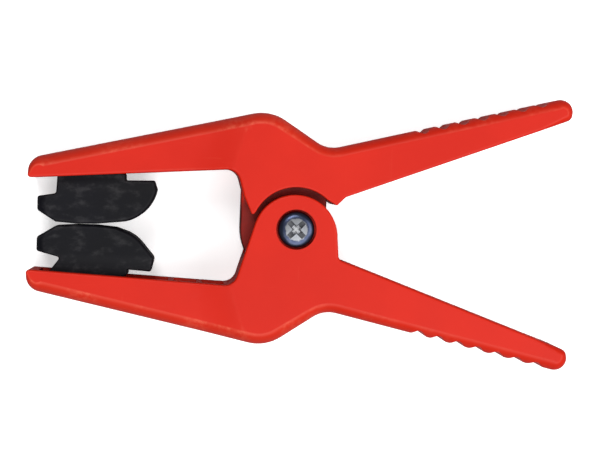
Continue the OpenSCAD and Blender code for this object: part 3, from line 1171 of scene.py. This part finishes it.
@dataclass
class Pivot:
    """The screw, its nut and the sleeve that the arms turn on. Sizes in millimetres."""

    plating: Material
    bright: Material
    recess: Material
    head_r: float = 3.45
    head_h: float = 2.1
    seat: float = 1.6
    shank_r: float = 1.7
    flat_r: float = 2.1
    thread_top: float = 4.4
    thread_low: float = 0.75
    thread_deep: float = 0.18
    pitch: float = 0.3
    recess_r: float = 2.08
    recess_deep: float = 1.5
    wing: float = 0.5
    waist: float = 0.78
    nut_r: float = 3.0
    nut_h: float = 1.8
    nut_low: float = 0.1
    chamfer: float = 0.28

    def build(self) -> None:
        """Builds and dresses the screw and the nut, and dresses the sleeve."""
        self._screw()
        self._nut()
        paint(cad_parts["pivot_sleeve"], self.bright)
        LOG.info("pivot sleeve dressed")

    def _screw(self) -> None:
        """A pan head with a cross recess, and a threaded end."""
        base = DEPTH - self.seat
        top = base + self.head_h
        dip, rim, bulge, steps = 0.04, 0.09, 1.0, 8
        profile: list[Spot] = [(0.0, top - dip)]
        for r in (0.8, 1.6, self.flat_r):
            profile.append((r, top - dip - (rim - dip) * (r / self.flat_r) ** 2))
        for k in range(1, steps + 1):
            a = math.pi / 2 * k / steps
            r = self.flat_r + (self.head_r - self.flat_r) * math.sin(a)
            profile.append((r, top - rim - bulge * (1 - math.cos(a))))
        profile += [(self.head_r, base + 0.2), (self.head_r - 0.15, base), (self.shank_r, base)]
        z = self.thread_top
        profile.append((self.shank_r, z))
        while z > self.thread_low:
            profile.append((self.shank_r - self.thread_deep, z - self.pitch / 2))
            profile.append((self.shank_r, z - self.pitch))
            z -= self.pitch
        profile += [(self.shank_r - 0.3, 0.22), (0.0, 0.2)]
        screw = turned("pivot_screw_head", profile)
        screw.data.materials.append(self.plating)
        combine(screw, [self._driver(top)], Cut.AWAY)
        finish_edges(screw, 0.0, 34.0)
        dress(screw, "lower", "plated_steel", "pivot_screw")

    def _driver(self, top: float) -> Object:
        """The tapered cross that is pressed into the head."""
        points: list[Point] = []
        levels = ((top + 0.6, 1.12, 1.1), (top, 1.0, 1.0), (top - self.recess_deep, 0.42, 0.62))
        for z, share, thin in levels:
            reach, half, waist = self.recess_r * share, self.wing * thin, self.waist * share
            for quarter in range(4):
                a = math.radians(45 + 90 * quarter)
                cos, sin = math.cos(a), math.sin(a)
                points += [(reach * cos - w * sin, reach * sin + w * cos, z) for w in (-half, half)]
                a = math.radians(90 + 90 * quarter)
                points.append((waist * math.cos(a), waist * math.sin(a), z))
        n = len(points) // len(levels)
        rows = [range(k * n, (k + 1) * n) for k in range(len(levels))]
        faces = [rows[0], rows[-1], *_strip(rows[0], rows[1]), *_strip(rows[1], rows[2])]
        cross = place("driver", points, faces)
        cross.data.materials.append(self.recess)
        return cross

    def _nut(self) -> None:
        """A hexagonal nut with turned chamfers on both faces."""
        reach = self.nut_r / math.cos(math.radians(30))
        low, high = self.nut_low, self.nut_low + self.nut_h
        nut = prism(_polygon(reach, 6), low, high)
        nut.name = "pivot_nut_hex"
        flat = self.nut_r - 0.05
        cone = [(0, high), (flat, high), (reach, high - self.chamfer)]
        cone += [(reach, low + self.chamfer), (flat, low), (0, low)]
        combine(nut, [turned("chamfer", cone)], Cut.KEEP)
        wide, thread, lead = self.shank_r + 0.3, self.shank_r + 0.02, 0.25
        bore = [(0, high + 1), (wide, high + 1), (wide, high), (thread, high - lead)]
        bore += [(thread, low + lead), (wide, low), (wide, low - 1), (0, low - 1)]
        combine(nut, [turned("bore", bore)], Cut.AWAY)
        finish_edges(nut, 0.03, 20.0)
        paint(nut, self.bright)
        dress(nut, "lower", "plated_steel", "pivot_nut")


@dataclass
class Spring:
    """The torsion spring that closes the jaws. Sizes in millimetres."""

    material: Material
    wire_r: float = 0.7
    coil_r: float = 4.05
    rise: float = 1.69
    leg_angle: float = 21.0
    leg: float = 25.0
    leg_steps: int = 14
    coil_steps: int = 150
    ends_laid_flat: float = 0.12

    def build(self) -> Object:
        """Builds the coil and its legs as one wire.

        Returns:
            The spring's mesh object.
        """
        a = math.radians(self.leg_angle)
        enter, leave = -math.pi / 2 - a, math.pi / 2 + a - 4 * math.pi
        low, high = MID - self.rise, MID + self.rise
        runs = [self.leg * k / self.leg_steps for k in range(1, self.leg_steps + 1)]

        def leg(angle: float, way: int, z: float) -> list[Point]:
            """The straight leg that leaves the coil at an angle, from the coil outwards."""
            x, y = self.coil_r * math.cos(angle), self.coil_r * math.sin(angle)
            return [(x + s * math.cos(a), y + way * s * math.sin(a), z) for s in runs]

        path = leg(enter, -1, low)[::-1]
        for k in range(self.coil_steps + 1):
            t = k / self.coil_steps
            angle = enter + (leave - enter) * t
            ease = t * t * (3 - 2 * t) * self.ends_laid_flat + t * (1 - self.ends_laid_flat)
            z = low + (high - low) * ease
            path.append((self.coil_r * math.cos(angle), self.coil_r * math.sin(angle), z))
        path += leg(leave, 1, high)
        spring = swept("torsion_spring_wire", np.array(path), self.wire_r)
        for face in spring.data.polygons:
            face.use_smooth = True
        spring.data.set_sharp_from_angle(angle=math.radians(60))
        spring.data.materials.append(self.material)
        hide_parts("torsion_spring")
        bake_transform(spring)
        LOG.info("%s: %d faces, twisting between the arms", spring.name, len(spring.data.polygons))
        return spring


@dataclass
class Studio:
    """The pale floor, the soft lights and the camera."""

    floor_size: float = 3.0
    lens: float = 120.0
    width_seen: float = 0.1135
    lean: Spot = (-3.0, 1.4)
    roll: float = -1.35

    def build(self) -> None:
        """Builds the floor, the lights, the world and the camera."""
        self._floor()
        self._light("key", (0.1, -0.84, 1.4), 1.4, 24.2)
        self._light("side", (0.5, 0.0, 0.6), 0.5, 3.0)
        self._light("kicker", (-0.12, 0.36, 0.68), 0.25, 2.3)
        self._world()
        self._camera()
        scene = bpy.context.scene
        scene.view_settings.view_transform = "Standard"
        scene.view_settings.look = "None"

    def _floor(self) -> None:
        """A pale, faintly uneven floor, which looks paler than the light that it sends back."""
        h = self.floor_size / 2
        mesh = bpy.data.meshes.new("floor")
        mesh.from_pydata([(-h, -h, 0), (h, -h, 0), (h, h, 0), (-h, h, 0)], [], [(0, 1, 2, 3)])
        floor = bpy.data.objects.new("floor", mesh)
        bpy.context.scene.collection.objects.link(floor)
        made = bpy.data.materials.new("pale floor")
        made.use_nodes = True
        made.node_tree.nodes.clear()
        t = Tree(made.node_tree)
        seen = t.mix(t.noise(t.where(), 14.0, 2.0), _paint(0.88, 0.88, 0.88), _paint(0.91, 0.91, 0.91))
        ray = t.add("ShaderNodeLightPath").outputs["Is Camera Ray"]
        shader = t.add("ShaderNodeBsdfPrincipled", Roughness=0.85)
        t.feed(shader, "Base Color", t.mix(ray, _paint(0.3, 0.3, 0.31), seen))
        t.feed(shader, "Emission Color", t.mix(ray, _paint(0.0, 0.0, 0.0), _paint(1.0, 1.0, 1.0)))
        shader.inputs["Specular IOR Level"].default_value = 0.1
        shader.inputs["Emission Strength"].default_value = 0.5
        t.add("ShaderNodeOutputMaterial", Surface=shader.outputs["BSDF"])
        mesh.materials.append(made)

    def _light(self, name: str, spot: Point, size: float, power: float) -> None:
        """A soft square light aimed at the clamp."""
        data = bpy.data.lights.new(name, "AREA")
        data.size = size
        data.energy = power
        lamp = bpy.data.objects.new(name, data)
        lamp.location = spot
        lamp.rotation_mode = "QUATERNION"
        lamp.rotation_quaternion = Vector(spot).to_track_quat("Z", "Y")
        bpy.context.scene.collection.objects.link(lamp)

    def _world(self) -> None:
        """An even pale surround."""
        world = bpy.data.worlds.new("studio")
        world.use_nodes = True
        back = world.node_tree.nodes["Background"]
        back.inputs["Color"].default_value = (0.95, 0.97, 1.0, 1.0)
        back.inputs["Strength"].default_value = 0.2
        bpy.context.scene.world = world

    def _camera(self) -> None:
        """A long lens straight above, leaning a little towards the tips."""
        low, high = CAD_BOX
        centre = Vector(((low.x + high.x) / 2, (low.y + high.y) / 2, high.z * 0.9))
        data = bpy.data.cameras.new("camera")
        data.lens = self.lens
        away = self.width_seen * self.lens / data.sensor_width
        lean_x, lean_y = (math.radians(v) for v in self.lean)
        back = Vector((math.sin(lean_x), math.sin(lean_y), math.cos(lean_x) * math.cos(lean_y)))
        back.normalize()
        camera = bpy.data.objects.new("camera", data)
        camera.location = centre + back * away
        roll = math.radians(self.roll)
        up = Vector((math.sin(roll), math.cos(roll), 0))
        right = up.cross(back).normalized()
        up = back.cross(right)
        turn = Matrix((right, up, back)).transposed()
        camera.rotation_mode = "QUATERNION"
        camera.rotation_quaternion = turn.to_quaternion()
        data.clip_start, data.clip_end = 0.01, 10.0
        bpy.context.scene.collection.objects.link(camera)
        bpy.context.scene.camera = camera


def main() -> None:
    """Builds every sub-assembly in order."""
    logging.basicConfig(level=logging.INFO, format="%(name)s: %(message)s")
    Studio().build()
    effects = Effects()
    red = RED_PLASTIC.material(effects)
    rubber = BLACK_RUBBER.material(effects)
    bright = BRIGHT_STEEL.material(effects)
    for side in Side:
        Arm(side, red).build()
        Pad(side, rubber).build()
    Pivot(BLUED_PLATING.material(effects), bright, RECESS_STEEL.material(effects)).build()
    Spring(SPRING_WIRE.material(effects)).build()


if __name__ == "__main__":
    main()
